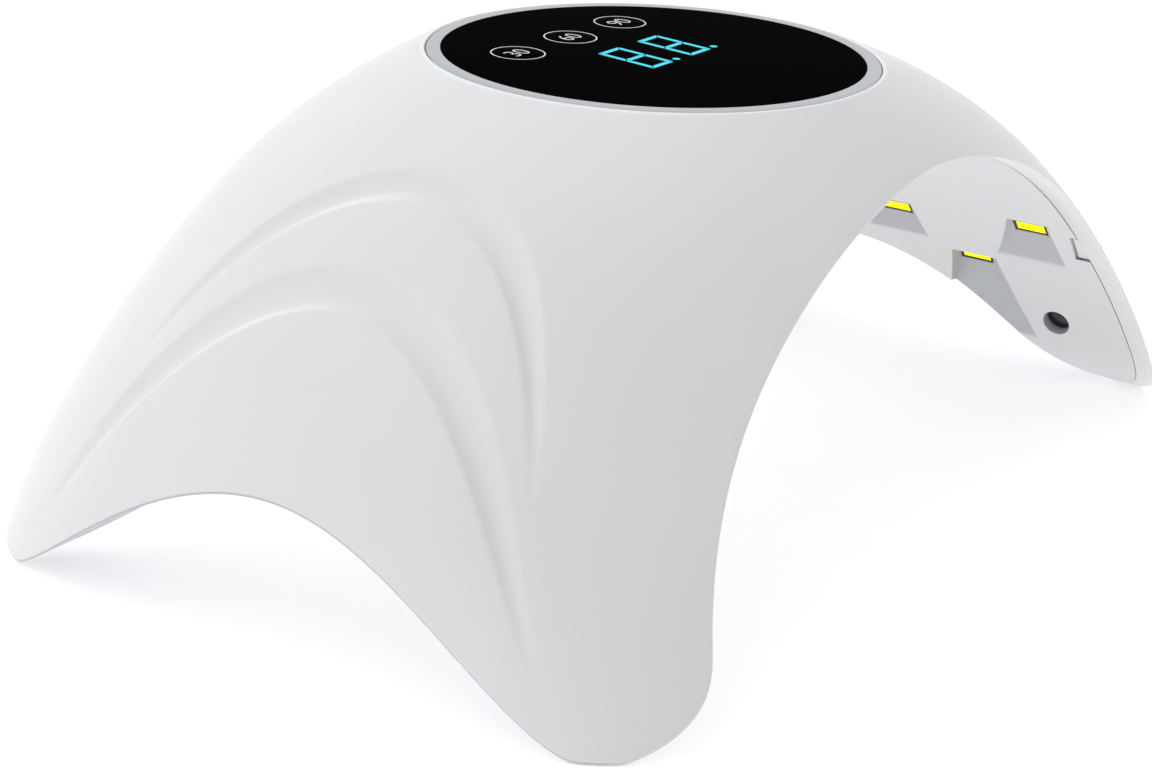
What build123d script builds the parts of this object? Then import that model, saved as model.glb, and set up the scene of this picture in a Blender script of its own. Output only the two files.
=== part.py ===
from build123d import *
from math import cos, pi, radians, sin, tan
import os

# A small UV nail lamp: a white moulded dome on four rounded toes, open at the front and
# the back for the hand and lower at the sides, with a round black display panel on top.
# Every length is in millimetres. The origin is on the ground under the middle of the lamp,
# +X is the user's right, -Y faces the user and +Z is up.

# Hand tunnel, front to back
tunnel_half_width = 70.0
tunnel_height = 53.8
tunnel_power = 1.85
toe_flare = 10.0
toe_height = 12.0
toe_power = 3.0
outline_steps = 14
outline_bunching = 1.5
arch_overrun = 10.0
cut_overrun = 1.0
small_step = 0.02

# Low arches at the sides
side_arch_half_width = 44.5
side_arch_height = 21.0
side_arch_power = 1.4

# Display stack, from the liner's roof up to the glossy top
liner_wall = 1.5
board_lift = 0.2
board_thickness = 1.0
display_room = 3.6
lens_thickness = 1.7
lens_proud = 0.1
adhesive_thickness = 0.2
adhesive_width = 2.2
adhesive_inset = 0.2

# Display panel, its ring and the white collar round it
lens_radius = 30.0
bezel_width = 2.1
bezel_chamfer = 0.6
collar_land = 0.5
seat_width = 3.5
seat_thickness = 1.8
fit_gap = 0.1

# Outer form of the shell
toe_land = 8.0
toe_run = 19.2
side_fall_power = 2.33
front_fall_power = 3.46
side_crown_share = 0.206
front_crown_share = 0.091
crown_power = 8.0
ellipse_power = 2.0
plan_squareness = 4.27
squareness_power = 2.77
shell_wall = 2.1
seam_gap = 0.15
section_points = 32
section_count = 13
section_bunching = 1.5

# Relief on both sides: an upper and a lower ridge, each with a valley above it
upper_ridge_apex = 52.4
upper_ridge_half_span = 36.0
upper_ridge_drop = 50.0
upper_ridge_roundness = 0.5
upper_ridge_reach = 0.917
upper_valley_width = 5.9
lower_ridge_apex = 41.7
lower_ridge_half_span = 43.0
lower_ridge_drop = 42.3
lower_ridge_roundness = 1.0
lower_ridge_reach = 0.953
lower_valley_width = 6.6
valley_depth = 1.0
valley_floor_share = 0.38
valley_slope_share = 0.75
valley_slope_depth_share = 0.62
valley_beyond_share = 1.12
valley_beyond_rise_share = 0.3
valley_end_width_share = 0.1
valley_end_rise = 0.15
valley_clear = 2.0
relief_steps = 7

# Windows for the lights in the tunnel walls: an upper row of four and a lower pair on each side.
# Each is a small deep floor that holds a light, and a mouth on the wall that widens downwards.
# The inner half of a mouth is the one towards the middle of the lamp.
upper_board_height = 27.85
middle_place = 11.6
middle_rise = -1.0
middle_mouth_top = 30.1
middle_mouth_base = 23.3
end_place = 35.6
end_rise = 1.0
end_mouth_top = 31.5
end_mouth_base = 22.8
upper_top_inner = 2.6
upper_top_outer = 4.2
upper_base_inner = 6.8
upper_base_outer = 5.6
upper_window_depth = 1.45
lower_board_height = 19.7
lower_place = 23.8
lower_mouth_top = 22.0
lower_mouth_base = 7.6
lower_top_inner = 2.9
lower_top_outer = 4.8
lower_base_inner = 5.6
lower_base_outer = 10.9
lower_window_depth = 2.3
window_wall = 0.9
window_overrun_share = 0.6
window_floor_half_width = 2.85
window_floor_half_height = 1.3
emitter_length = 4.7
emitter_width = 1.9
emitter_recess = 0.15
frame_recess = 0.1
light_board_margin = 0.3
light_board_width = 6.0
light_board_thickness = 0.8
single_board_length = 8.0
seat_gap = 0.05

# Hand sensor, one on each side near the front
sensor_y = -38.0
sensor_height = 11.8
sensor_hole_radius = 2.25
sensor_tube_wall = 0.9
sensor_tube_depth = 5.0
sensor_board_length = 8.0
sensor_board_width = 9.0
sensor_board_thickness = 1.0
sensor_device_radius = 2.0
sensor_device_length = 3.5

# Snap tabs that hold the liner in the shell
tab_y = 43.4
tab_reach = 6.0
tab_height = 26.0
tab_width = 3.8
tab_recess = 0.5
tab_gap = 0.35

# Digits shown by the panel
digit_height = 10.3
digit_width = 5.4
digit_stroke = 0.8
digit_joint = 0.14
digit_pitch = 10.3
digit_slant = 0.17
digit_group_x = 1.0
digit_group_y = 0.4
dot_radius = 0.55
dot_offset = 1.5
segment_gap = 0.05
module_margin = 2.0

# Buttons and the switches under them
button_radius = 4.2
button_pitch = 13.3
button_row_y = 14.1
button_travel = 0.35
button_flange_extra = 0.8
button_flange_thickness = 0.9
switch_size = 4.6
switch_height = 1.8
plunger_radius = 1.0
plunger_proud = 0.5
running_gap = 0.05

# Main board, its bosses and screws
board_tongue_width = 14.0
board_tongue_length = 5.0
boss_radius = 2.0
boss_inset = 2.0
boss_angle = 32.0
screw_radius = 0.85
screw_length = 4.0
screw_head_radius = 1.6
screw_head_height = 0.9
board_hole_gap = 0.2

# Power socket at the back
socket_width = 7.8
socket_height = 2.4
socket_depth = 7.0
socket_mouth_width = 6.9
socket_mouth_height = 1.7
socket_mouth_depth = 4.5
socket_tongue_width = 4.8
socket_tongue_thickness = 0.6
socket_tongue_root = 0.5
socket_tongue_setback = 1.0
slot_gap = 0.3

# Small parts on the main board
chip_length = 6.2
chip_width = 5.0
chip_height = 1.4
capacitor_radius = 1.7
capacitor_length = 7.0
transistor_length = 2.9
transistor_width = 1.6
transistor_height = 1.1
transistor_count = 3
resistor_length = 3.2
resistor_width = 1.6
resistor_height = 0.6
resistor_count = 3
part_pitch = 4.6
connector_length = 4.0
connector_width = 5.0
connector_height = 2.6
connector_x = 26.5

# Leads inside the walls
lead_radius = 0.5
lead_gap = 0.15
lead_slant_gap = 0.45
lead_shoulder = 8.5
lead_sink = 2.0
lead_end_y = 8.0
lead_run = 9.0
bend_share = 0.45

# Heights and radii that follow from these
liner_top = tunnel_height + liner_wall
board_bottom = liner_top + board_lift
board_top = board_bottom + board_thickness
lens_bottom = board_top + display_room
lens_top = lens_bottom + lens_thickness
shell_height = lens_top - lens_proud
seat_top = lens_bottom - adhesive_thickness
seat_bottom = seat_top - seat_thickness
bezel_inner_radius = lens_radius + fit_gap
bezel_outer_radius = bezel_inner_radius + bezel_width
recess_radius = bezel_outer_radius + fit_gap
collar_radius = recess_radius + collar_land
seat_inner_radius = lens_radius - seat_width
side_reach = tunnel_half_width + toe_flare + toe_land
front_reach = side_arch_half_width + toe_run
liner_inset = shell_wall + seam_gap
board_radius = lens_radius
boss_circle_radius = board_radius - boss_inset
plunger_floor = button_travel + running_gap
plunger_top = board_top + switch_height + plunger_proud
part_row_y = -board_radius / 2

# Each kind of window: height of its board, place along the wall, rise of the light from the
# board's middle, top and base of the mouth, its inner and outer half widths at the top and
# at the base, and the depth of the floor
middle_window = (upper_board_height, middle_place, middle_rise, middle_mouth_top, middle_mouth_base,
                 upper_top_inner, upper_top_outer, upper_base_inner, upper_base_outer, upper_window_depth)
end_window = (upper_board_height, end_place, end_rise, end_mouth_top, end_mouth_base,
              upper_top_inner, upper_top_outer, upper_base_inner, upper_base_outer, upper_window_depth)
lower_window = (lower_board_height, lower_place, 0, lower_mouth_top, lower_mouth_base,
                lower_top_inner, lower_top_outer, lower_base_inner, lower_base_outer, lower_window_depth)


def plan_half(height, total, reach, fall_power, crown_share, inset):
    """Half size of the plan at a height, for a form set in by inset."""
    share = height / total
    fall = (1 - crown_share) * share**fall_power + crown_share * share**crown_power
    return reach - inset - (reach - collar_radius) * fall


def plan_sizes(height, inset):
    """Half width, half depth and superellipse power of the plan at a height."""
    total = shell_height - inset
    half_x = plan_half(height, total, side_reach, side_fall_power, side_crown_share, inset)
    half_y = plan_half(height, total, front_reach, front_fall_power, front_crown_share, inset)
    squareness = (1 - height / total) ** squareness_power
    power = ellipse_power + (plan_squareness - ellipse_power) * squareness
    return half_x, half_y, power


def dome_section(height, inset):
    """One closed superellipse of the dome, with evenly turned points."""
    half_x, half_y, power = plan_sizes(height, inset)
    points = []
    for step in range(section_points):
        turn = 2 * pi * step / section_points
        across = cos(turn)
        along = sin(turn)
        norm = (abs(across) ** power + abs(along) ** power) ** (1 / power)
        points.append(Vector(half_x * across / norm, half_y * along / norm, height))
    places = [float(step) for step in range(section_points + 1)]
    return Wire([Edge.make_spline(points, periodic=True, parameters=places)])


def dome(inset):
    """Solid dome from the ground to the crown, set in all over by inset."""
    sections = []
    for step in range(section_count):
        share = 1 - (1 - step / (section_count - 1)) ** section_bunching
        sections.append(dome_section(share * (shell_height - inset), inset))
    return Solid.make_loft(sections)


def shell_x(y, height):
    """Half width of the outer form at a given y and height."""
    half_x, half_y, power = plan_sizes(height, 0)
    return half_x * (1 - (abs(y) / half_y) ** power) ** (1 / power)


def tunnel_half(height):
    """Half width of the hand tunnel at a height, with the flare at the toes."""
    arch = tunnel_half_width * (1 - (height / tunnel_height) ** tunnel_power) ** (1 / tunnel_power)
    flare = toe_flare * max(0.0, 1 - height / toe_height) ** toe_power
    return arch + flare


def tunnel_outline():
    """Points of the tunnel's outline from the left toe over the apex to the right toe."""
    right = []
    for step in range(outline_steps + 1):
        turn = pi / 2 * (1 - step / outline_steps) ** outline_bunching
        height = tunnel_height * sin(turn) ** (2 / tunnel_power)
        right.append(Vector(tunnel_half(min(height, tunnel_height)), 0, height))
    left = [Vector(-point.X, 0, point.Z) for point in right[:0:-1]]
    return left + right


def side_arch_outline():
    """Points of the side arch's outline, from the back to the front."""
    points = []
    for step in range(-outline_steps, outline_steps + 1):
        share = sin(pi / 2 * step / outline_steps)
        height = side_arch_height * max(0.0, 1 - share**2) ** side_arch_power
        points.append(Vector(0, side_arch_half_width * share, height))
    return points


def moved_out(points, margin, axis):
    """The same outline moved outwards by margin, square to itself; axis is its normal."""
    moved = []
    for place, point in enumerate(points):
        before = points[max(place - 1, 0)]
        after = points[min(place + 1, len(points) - 1)]
        outward = axis.cross(after - before).normalized()
        moved.append(point + outward * margin)
    return moved


def arch_solid(points, direction, reach):
    """Solid under an arch outline, carried both ways along a direction."""
    below = Vector(0, 0, arch_overrun)
    first = points[0]
    last = points[-1]
    outline = Spline(*points)
    base = Polyline(last, last - below, first - below, first)
    return extrude(make_face([outline, base]), amount=reach, dir=direction, both=True)


def hand_tunnel(margin):
    """Space that the hand goes through, grown by margin."""
    points = moved_out(tunnel_outline(), margin, Vector(0, -1, 0))
    return arch_solid(points, (0, 1, 0), front_reach + arch_overrun)


def side_arch(margin):
    """Space under both side arches, grown by margin."""
    points = moved_out(side_arch_outline(), margin, Vector(1, 0, 0))
    return arch_solid(points, (1, 0, 0), side_reach + arch_overrun)


def ring(outer, inner, bottom, top):
    """Flat ring round the Z axis."""
    body = Cylinder(outer, top - bottom) - Cylinder(inner, top - bottom)
    return Pos(0, 0, (bottom + top) / 2) * body


def block(x, y, z):
    """Box from pairs of limits."""
    corner = Pos((x[0] + x[1]) / 2, (y[0] + y[1]) / 2, (z[0] + z[1]) / 2)
    return corner * Box(x[1] - x[0], y[1] - y[0], z[1] - z[0])


def post(radius, x, y, bottom, top):
    """Upright cylinder."""
    return Pos(x, y, (bottom + top) / 2) * Cylinder(radius, top - bottom)


def both_sides(solids):
    """The same solids and their mirror images on the other side of the lamp."""
    return solids + [mirror(solid, about=Plane.YZ) for solid in solids]


def ridge_point(y, apex, half_span, drop, roundness, rise):
    """Point of the outer form on a ridge line, or on a line raised above it by rise."""
    share = abs(y) / half_span
    height = apex + rise - drop * (1 - max(0.0, 1 - share**2) ** roundness)
    return Vector(shell_x(y, height), y, height)


def outward(point):
    """Outward normal of the outer form, from two short steps along it."""
    y = point.Y
    z = point.Z
    up = Vector(shell_x(y, z + small_step), y, z + small_step) - point
    along = Vector(shell_x(y + small_step, z), y + small_step, z) - point
    return along.cross(up).normalized()


def valley_section(share, ridge, reach, full_width):
    """Six-sided section of one valley, square to its ridge; share runs from -1 to 1 along it."""
    fade = cos(pi / 2 * share)
    y = ridge[1] * reach * sin(pi / 2 * share)
    foot = ridge_point(y, *ridge, 0)
    ahead = ridge_point(y + small_step, *ridge, 0)
    normal = outward(foot)
    side = (ahead - foot).cross(normal).normalized()
    width = full_width * (valley_end_width_share + (1 - valley_end_width_share) * fade**2)
    depth = valley_depth * fade
    lift = valley_end_rise * (1 - fade)
    corners = []
    for across, down in ((-valley_floor_share, -1), (valley_floor_share, 1),
                         (valley_slope_share, valley_slope_depth_share),
                         (valley_beyond_share, -valley_beyond_rise_share)):
        place = foot + side * width * across
        base = Vector(shell_x(place.Y, place.Z), place.Y, place.Z)
        corners.append(base + normal * (lift - depth * down))
    corners.insert(0, corners[0] + normal * valley_clear)
    corners.append(corners[-1] + normal * valley_clear)
    return Wire.make_polygon(corners)


def valley(ridge, reach, full_width):
    """Cutter for the valley above one ridge, fading out towards the toes."""
    sections = []
    for step in range(-relief_steps, relief_steps + 1):
        sections.append(valley_section(step / relief_steps, ridge, reach, full_width))
    return Solid.make_loft(sections)


def snap_tab_space(gap):
    """Room of one snap tab, at the front of the right wall, grown by gap."""
    y = (-tab_y - tab_reach, -tab_y + gap)
    z = (tab_height - gap, tab_height + tab_width + gap)
    x = (tunnel_half(tab_height + tab_width) - tab_reach, side_reach)
    return block(x, y, z)


def four_corners(solid):
    """A solid at the front right, repeated at the other three corners."""
    back = mirror(solid, about=Plane.XZ)
    return both_sides([solid, back])


def boss_places():
    """Centres of the four bosses under the display seat."""
    places = []
    for turn in (boss_angle, 180 - boss_angle, 180 + boss_angle, -boss_angle):
        places.append((boss_circle_radius * cos(radians(turn)), boss_circle_radius * sin(radians(turn))))
    return places


def socket_slot():
    """Opening in the back of the shell for the power plug."""
    half_width = socket_width / 2 + slot_gap
    top = board_top + socket_height + slot_gap
    y = (seat_inner_radius - cut_overrun, front_reach)
    return block((-half_width, half_width), y, (board_top - slot_gap, top))


def make_outer_shell():
    """White moulded shell with the display seat, bosses, valleys and snap tabs."""
    form = dome(0)
    shell = form - dome(shell_wall)
    seat = ring(collar_radius, seat_inner_radius, seat_bottom, seat_top)
    shell = shell + seat
    for x, y in boss_places():
        shell = shell + post(boss_radius, x, y, board_top, seat_bottom + seat_thickness / 2)
    shell = shell - post(recess_radius, 0, 0, seat_top, lens_top + cut_overrun)
    shell = shell - post(seat_inner_radius, 0, 0, board_top, lens_top)
    for x, y in boss_places():
        shell = shell - post(screw_radius + running_gap, x, y, board_bottom, screw_top() + lead_gap)
    shell = shell - hand_tunnel(0) - side_arch(0) - socket_slot()
    upper_ridge = (upper_ridge_apex, upper_ridge_half_span, upper_ridge_drop, upper_ridge_roundness)
    lower_ridge = (lower_ridge_apex, lower_ridge_half_span, lower_ridge_drop, lower_ridge_roundness)
    upper = valley(upper_ridge, upper_ridge_reach, upper_valley_width)
    lower = valley(lower_ridge, lower_ridge_reach, lower_valley_width)
    for cutter in both_sides([upper, lower]):
        shell = shell - cutter
    tab = (snap_tab_space(0) & dome(shell_wall / 2)) - hand_tunnel(tab_recess)
    for copy in four_corners(tab):
        shell = shell + copy
    return shell


def wall_frame(height, y):
    """Frame on the right tunnel wall: X towards the front, Y up the wall, Z into the tunnel."""
    above = tunnel_half(height + small_step)
    below = tunnel_half(height - small_step)
    up = Vector(above - below, 0, 2 * small_step).normalized()
    return Plane(origin=(tunnel_half(height), y, height), x_dir=(0, -1, 0), z_dir=up.cross(Vector(0, 1, 0)))


def wall_block(frame, x, y, z):
    """Box given by limits in a wall frame."""
    return frame.location * block(x, y, z)


def centred_block(frame, half_x, half_y, z):
    """Box in a wall frame, centred on its origin, with limits along its Z."""
    return wall_block(frame, (-half_x, half_x), (-half_y, half_y), z)


def window_frame(kind, side):
    """Frame on the wall at a window's light; side is -1 at the front and 1 at the back."""
    board_height, place, rise = kind[:3]
    middle = wall_frame(board_height, side * place)
    return Plane(origin=middle.from_local_coords((0, rise, 0)), x_dir=middle.x_dir, z_dir=middle.z_dir)


def window_solid(kind, side, margin):
    """Recess of one light, grown by margin and carried on a little into the tunnel."""
    top, base, top_inner, top_outer, base_inner, base_outer, depth = kind[3:]
    frame = window_frame(kind, side)
    half_x = window_floor_half_width + margin
    half_y = window_floor_half_height + margin
    floor = [(half_x, half_y), (-half_x, half_y), (-half_x, -half_y), (half_x, -half_y)]
    outline = [(-top_outer, top), (top_inner, top), (base_inner, base), (-base_outer, base)]
    if side > 0:
        outline = [(-top_inner, top), (top_outer, top), (base_outer, base), (-base_inner, base)]
    deep = []
    wide = []
    for corner, (along, height) in zip(floor, outline):
        along += margin if along > 0 else -margin
        height += margin if height == top else -margin
        inner = frame.from_local_coords((corner[0], corner[1], -depth - margin))
        edge = Vector(tunnel_half(height), frame.origin.Y + along, height)
        deep.append(inner)
        wide.append(edge + (edge - inner) * window_overrun_share)
    wires = [Wire.make_polygon(deep), Wire.make_polygon(wide)]
    return Solid.make_loft(wires, ruled=True)


def windows():
    """Kind and side of every window on the right wall."""
    found = []
    for kind in (middle_window, end_window, lower_window):
        for side in (-1, 1):
            found.append((kind, side))
    return found


def board_level(kind):
    """Depth of a window's board behind the wall, to the face that carries the light."""
    return kind[-1] + window_wall + seat_gap


def sensor_tube(radius, depth):
    """Round rod along the sensor's axis, from inside the tunnel to a depth in the wall."""
    length = depth + sensor_tube_depth
    frame = wall_frame(sensor_height, sensor_y)
    return frame.location * Pos(0, 0, sensor_tube_depth - length / 2) * Cylinder(radius, length)


def make_inner_liner():
    """White lining of the tunnel with the light windows, sensor holes and closed undersides."""
    space = dome(liner_inset)
    tunnel = hand_tunnel(0)
    sides = side_arch(0)
    liner = space & hand_tunnel(liner_wall)
    liner = liner + (space & side_arch(liner_wall))
    for kind, side in windows():
        cup = window_solid(kind, side, window_wall)
        for copy in both_sides([space & cup]):
            liner = liner + copy
    tube = space & sensor_tube(sensor_hole_radius + sensor_tube_wall, sensor_tube_depth)
    for copy in both_sides([tube]):
        liner = liner + copy
    liner = liner - tunnel - sides
    for kind, side in windows():
        z = (-board_level(kind) - cut_overrun, 0)
        frame = window_frame(kind, side)
        through = centred_block(frame, window_floor_half_width, window_floor_half_height, z)
        for copy in both_sides([window_solid(kind, side, 0), through]):
            liner = liner - copy
    for copy in both_sides([sensor_tube(sensor_hole_radius, sensor_tube_depth + cut_overrun)]):
        liner = liner - copy
    for copy in four_corners(snap_tab_space(tab_gap)):
        liner = liner - copy
    return liner


def make_light_board():
    """Strip board of the upper row on the right."""
    half_length = end_place + window_floor_half_width + light_board_margin
    front = -board_level(end_window)
    z = (front - light_board_thickness, front)
    return centred_block(wall_frame(upper_board_height, 0), half_length, light_board_width / 2, z)


def make_single_boards():
    """Small boards of the lower pair on the right."""
    boards = []
    front = -board_level(lower_window)
    z = (front - light_board_thickness, front)
    for side in (-1, 1):
        frame = window_frame(lower_window, side)
        boards.append(centred_block(frame, single_board_length / 2, light_board_width / 2, z))
    return boards


def make_emitters():
    """Yellow light emitters of the right wall, each on its board behind a window."""
    emitters = []
    for kind, side in windows():
        z = (-board_level(kind), -kind[-1] - emitter_recess)
        emitters.append(centred_block(window_frame(kind, side), emitter_length / 2, emitter_width / 2, z))
    return emitters


def make_emitter_frames():
    """Black frames of the right wall, each filling its opening round an emitter."""
    frames = []
    half_x = window_floor_half_width - seat_gap
    half_y = window_floor_half_height - seat_gap
    for kind, side in windows():
        z = (-board_level(kind), -kind[-1] - frame_recess)
        frame = window_frame(kind, side)
        hole = centred_block(frame, emitter_length / 2 + seat_gap, emitter_width / 2 + seat_gap, z)
        frames.append(centred_block(frame, half_x, half_y, z) - hole)
    return frames


def make_sensor_board():
    """Green board behind the right sensor tube."""
    frame = wall_frame(sensor_height, sensor_y)
    top = -sensor_tube_depth - seat_gap
    z = (top - sensor_board_thickness, top)
    return centred_block(frame, sensor_board_length / 2, sensor_board_width / 2, z)


def make_sensor_device():
    """Infrared device that stands on the right sensor board inside the tube."""
    frame = wall_frame(sensor_height, sensor_y)
    bottom = -sensor_tube_depth - seat_gap
    middle = bottom + sensor_device_length / 2
    return frame.location * Pos(0, 0, middle) * Cylinder(sensor_device_radius, sensor_device_length)


def screw_top():
    """Height of the screws' ends."""
    return board_bottom + screw_length


def make_screws():
    """Four screws that hold the main board to the shell's bosses."""
    screws = []
    for x, y in boss_places():
        head = post(screw_head_radius, x, y, board_bottom - screw_head_height, board_bottom)
        screws.append(head + post(screw_radius, x, y, board_bottom - screw_head_height / 2, screw_top()))
    return screws


def make_main_board():
    """Round main board with a tongue under the power socket."""
    board = post(board_radius, 0, 0, board_bottom, board_top)
    half = board_tongue_width / 2
    reach = board_radius + board_tongue_length
    board = board + block((-half, half), (0, reach), (board_bottom, board_top))
    for x, y in boss_places():
        hole_radius = screw_radius + board_hole_gap
        board = board - post(hole_radius, x, y, board_bottom - cut_overrun, board_top + cut_overrun)
    return board


def make_bezel():
    """Silver ring round the display panel, with a bevelled outer edge."""
    body = ring(bezel_outer_radius, bezel_inner_radius, seat_top, lens_top)
    edges = body.edges().filter_by(GeomType.CIRCLE).group_by(Axis.Z)[-1].sort_by(SortBy.RADIUS)
    return chamfer(edges[-1], bezel_chamfer)


def bar_outlines():
    """Corner lists of the seven bars of a digit about its centre, upright."""
    w = digit_width / 2
    h = digit_height / 2
    stroke = digit_stroke
    joint = digit_joint
    level = [(w - joint, h), (joint - w, h),
             (joint + stroke - w, h - stroke), (w - stroke - joint, h - stroke)]
    upright = [(w, h - joint), (w - stroke, h - stroke - joint), (w - stroke, stroke / 2 + joint),
               (w - stroke / 2, joint), (w, joint)]
    tip = w - stroke / 2 - joint
    shoulder = tip - stroke / 2
    middle = [(tip, 0), (shoulder, stroke / 2), (-shoulder, stroke / 2),
              (-tip, 0), (-shoulder, -stroke / 2), (shoulder, -stroke / 2)]
    bars = [middle, level, [(-x, -y) for x, y in level]]
    bars += [upright, [(-x, -y) for x, y in upright]]
    bars += [[(-x, y) for x, y in upright[::-1]], [(x, -y) for x, y in upright[::-1]]]
    return bars


def digit_solids(grow, bottom, top):
    """The bars and dots of both digits as upright solids, slanted in plan and grown by grow."""
    solids = []
    for side in (-0.5, 0.5):
        centre_x = digit_group_x + side * digit_pitch
        for bar in bar_outlines():
            corners = []
            for x, y in bar:
                corners.append((centre_x + x + digit_slant * y, digit_group_y + y, bottom))
            face = Face(Wire.make_polygon(corners))
            if grow > 0:
                face = offset(face, amount=grow, kind=Kind.INTERSECTION)
            solids.append(extrude(face, amount=top - bottom, dir=(0, 0, 1)))
        dot_y = -digit_height / 2 + dot_radius
        dot_x = centre_x + digit_width / 2 + dot_offset + digit_slant * dot_y
        solids.append(post(dot_radius + grow, dot_x, digit_group_y + dot_y, bottom, top))
    return solids


def button_xs():
    """Places of the three buttons along their row."""
    return (-button_pitch, 0, button_pitch)


def make_lens():
    """Black glossy panel with the button holes and the clear bars' windows."""
    lens = post(lens_radius, 0, 0, lens_bottom, lens_top)
    for x in button_xs():
        lens = lens - post(button_radius + fit_gap, x, button_row_y, lens_bottom - cut_overrun,
                           lens_top + cut_overrun)
    for cutter in digit_solids(segment_gap, lens_bottom - cut_overrun, lens_top + cut_overrun):
        lens = lens - cutter
    return lens


def make_digit_module():
    """Light box of the digits, on the main board under the panel."""
    half_x = digit_pitch / 2 + digit_width / 2 + module_margin
    half_y = digit_height / 2 + module_margin / 2
    x = (digit_group_x - half_x, digit_group_x + half_x)
    y = (digit_group_y - half_y, digit_group_y + half_y)
    return block(x, y, (board_top, lens_bottom - segment_gap))


def make_button(x):
    """Button cap: a round head in the panel's hole and a flange below the panel."""
    flange_top = plunger_top + button_flange_thickness
    head = post(button_radius, x, button_row_y, plunger_top, lens_top)
    return head + post(button_radius + button_flange_extra, x, button_row_y, plunger_top, flange_top)


def make_plunger(x):
    """Plunger of a switch, which moves with its button."""
    return post(plunger_radius, x, button_row_y, board_top + plunger_floor, plunger_top)


def make_switch(x):
    """Switch body on the main board, with a bore for its plunger."""
    half = switch_size / 2
    body = block((x - half, x + half), (button_row_y - half, button_row_y + half),
                 (board_top, board_top + switch_height))
    return body - post(plunger_radius + running_gap, x, button_row_y, board_top,
                       board_top + switch_height + cut_overrun)


def make_socket():
    """Power socket with a flat tongue in its mouth, facing the back."""
    half = socket_width / 2
    back = board_radius + board_tongue_length
    body = block((-half, half), (back - socket_depth, back), (board_top, board_top + socket_height))
    middle = board_top + socket_height / 2
    mouth_half = socket_mouth_width / 2
    mouth = block((-mouth_half, mouth_half), (back - socket_mouth_depth, back + cut_overrun),
                  (middle - socket_mouth_height / 2, middle + socket_mouth_height / 2))
    tongue = block((-socket_tongue_width / 2, socket_tongue_width / 2),
                   (back - socket_mouth_depth - socket_tongue_root, back - socket_tongue_setback),
                   (middle - socket_tongue_thickness / 2, middle + socket_tongue_thickness / 2))
    return body - mouth + tongue


def make_chip():
    """Controller chip on the main board."""
    x = (-chip_length / 2, chip_length / 2)
    y = (part_row_y - chip_width / 2, part_row_y + chip_width / 2)
    return block(x, y, (board_top, board_top + chip_height))


def make_capacitor():
    """Round smoothing capacitor lying on the main board."""
    x = -chip_length / 2 - part_pitch
    rod = Rot(90, 0, 0) * Cylinder(capacitor_radius, capacitor_length)
    return Pos(x, part_row_y, board_top + capacitor_radius) * rod


def row_of_parts(first_x, count, length, width, height, y):
    """A row of like small parts on the main board."""
    parts = []
    for place in range(count):
        x = first_x + place * part_pitch
        parts.append(block((x - width / 2, x + width / 2), (y - length / 2, y + length / 2),
                           (board_top, board_top + height)))
    return parts


def make_connector():
    """Lead connector under the right edge of the main board."""
    half = connector_length / 2
    width = connector_width / 2
    x = (connector_x - half, connector_x + half)
    return block(x, (-width, width), (board_bottom - connector_height, board_bottom))


def lead_along(points):
    """Round lead along straight runs joined by the largest arcs that fit."""
    radii = []
    for before, corner, after in zip(points, points[1:], points[2:]):
        first = corner - before
        second = after - corner
        turn = radians(first.get_angle(second))
        radii.append(bend_share * min(first.length, second.length) / tan(turn / 2))
    path = FilletPolyline(*points, radius=radii) if radii else Line(*points)
    section = Plane(origin=points[0], z_dir=points[1] - points[0]) * Circle(lead_radius)
    return sweep(section, path=path)


def make_leads():
    """Leads of the right side: to the strip board, the small boards and the sensor board."""
    upper_level = -board_level(end_window) - light_board_thickness / 2
    lower_level = -board_level(lower_window) - light_board_thickness / 2
    edge = light_board_width / 2 + lead_gap
    strip = wall_frame(upper_board_height, -lead_end_y)
    end = strip.from_local_coords((0, edge, upper_level))
    above = strip.from_local_coords((0, edge + lead_run, upper_level))
    start = Vector(connector_x + connector_length / 2 + lead_gap, 0, board_bottom - connector_height / 2)
    shoulder = start + Vector(lead_shoulder, 0, -lead_sink)
    leads = [lead_along([start, shoulder, above, end])]
    for y in (-lower_place, lower_place):
        first = wall_frame(upper_board_height, y).from_local_coords((0, -edge, upper_level))
        second = wall_frame(lower_board_height, y).from_local_coords((0, edge, lower_level))
        leads.append(lead_along([first, second]))
    small = wall_frame(lower_board_height, -lower_place)
    beside = small.from_local_coords((0, lead_gap - edge - lead_slant_gap, lower_level))
    sensor = wall_frame(sensor_height, sensor_y)
    sensor_level = -sensor_tube_depth - seat_gap - sensor_board_thickness / 2
    at_sensor = sensor.from_local_coords((-sensor_board_length / 2 - lead_slant_gap, 0, sensor_level))
    leads.append(lead_along([beside, at_sensor]))
    return leads


def mirrored(solids):
    """Mirror images of solids on the left side."""
    return [mirror(solid, about=Plane.YZ) for solid in solids]


def write(name, solids):
    """Write one sub-part as its own file."""
    if not isinstance(solids, list):
        solids = [solids]
    flat = []
    for solid in solids:
        flat += solid.solids()
    export_step(Compound(children=flat) if len(flat) > 1 else flat[0], "parts/" + name + ".step")


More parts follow.
